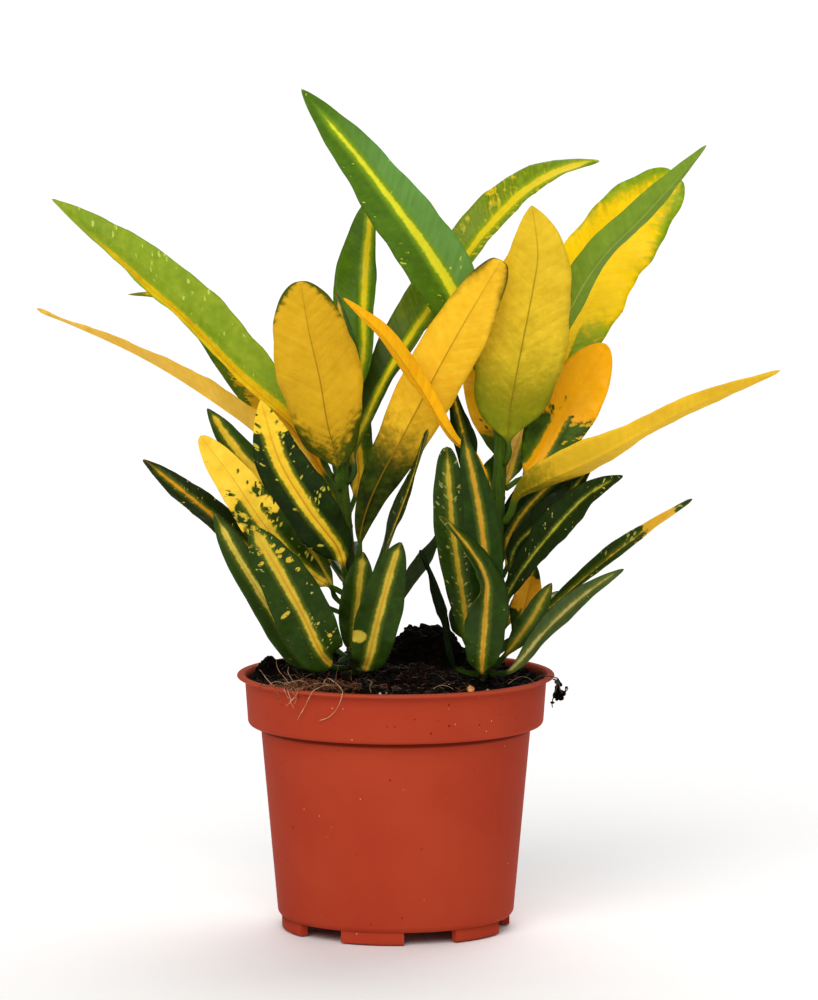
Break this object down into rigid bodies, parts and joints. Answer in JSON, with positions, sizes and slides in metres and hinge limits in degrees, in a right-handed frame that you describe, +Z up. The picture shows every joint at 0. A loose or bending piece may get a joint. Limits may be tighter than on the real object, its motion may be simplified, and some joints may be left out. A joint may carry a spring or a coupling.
{
  "type": "potted croton",
  "caption": "Croton plant with long lance-shaped leaves, golden, green and dark flecked, in a round tapered nursery pot with a rim band and low feet.",
  "frame": {"origin": "on the pot's axis, on the surface that its feet stand on", "axes": "+Z up along the pot's axis, -Y the side that faces the camera in the picture, +X to the right"},
  "size_m": [0.2795, 0.1518, 0.3172],
  "materials": {
    "pot": "satin",
    "soil": "matte",
    "stem": "satin",
    "leaf_golden": "satin",
    "leaf_green": "satin",
    "leaf_flecked": "satin",
    "leaf_dark": "satin"
  },
  "bodies": {
    "root": {"left_leaf_01": "leaf_golden", "left_leaf_02": "leaf_green", "left_leaf_03": "leaf_dark", "left_leaf_04": "leaf_green", "left_leaf_05": "leaf_green", "left_leaf_06": "leaf_golden", "left_leaf_07": "leaf_dark", "left_leaf_08": "leaf_golden", "left_leaf_09": "leaf_green", "left_leaf_10": "leaf_flecked", "left_leaf_11": "leaf_flecked", "left_leaf_12": "leaf_dark", "left_leaf_13": "leaf_dark", "left_leaf_14": "leaf_dark", "left_leaf_15": "leaf_dark", "left_leaf_16": "leaf_dark", "left_leaf_17": "leaf_dark", "left_leaf_18": "leaf_dark", "left_leaf_19": "leaf_dark", "left_leaf_20": "leaf_flecked", "left_leaf_21": "leaf_dark", "left_leaf_22": "leaf_dark", "left_leaf_23": "leaf_dark", "left_leaf_24": "leaf_flecked", "left_stem": "stem", "pot": "pot", "right_leaf_01": "leaf_green", "right_leaf_02": "leaf_golden", "right_leaf_03": "leaf_golden", "right_leaf_04": "leaf_green", "right_leaf_05": "leaf_golden", "right_leaf_06": "leaf_golden", "right_leaf_07": "leaf_golden", "right_leaf_08": "leaf_golden", "right_leaf_09": "leaf_dark", "right_leaf_10": "leaf_dark", "right_leaf_11": "leaf_dark", "right_leaf_12": "leaf_dark", "right_leaf_13": "leaf_dark", "right_leaf_14": "leaf_dark", "right_leaf_15": "leaf_dark", "right_leaf_16": "leaf_dark", "right_leaf_17": "leaf_dark", "right_leaf_18": "leaf_dark", "right_leaf_19": "leaf_flecked", "right_leaf_20": "leaf_dark", "right_leaf_21": "leaf_dark", "right_leaf_22": "leaf_dark", "right_leaf_23": "leaf_flecked", "right_leaf_24": "leaf_flecked", "right_leaf_25": "leaf_dark", "right_leaf_26": "leaf_dark", "right_leaf_27": "leaf_dark", "right_stem": "stem", "soil": "soil"}
  },
  "joints": []
}
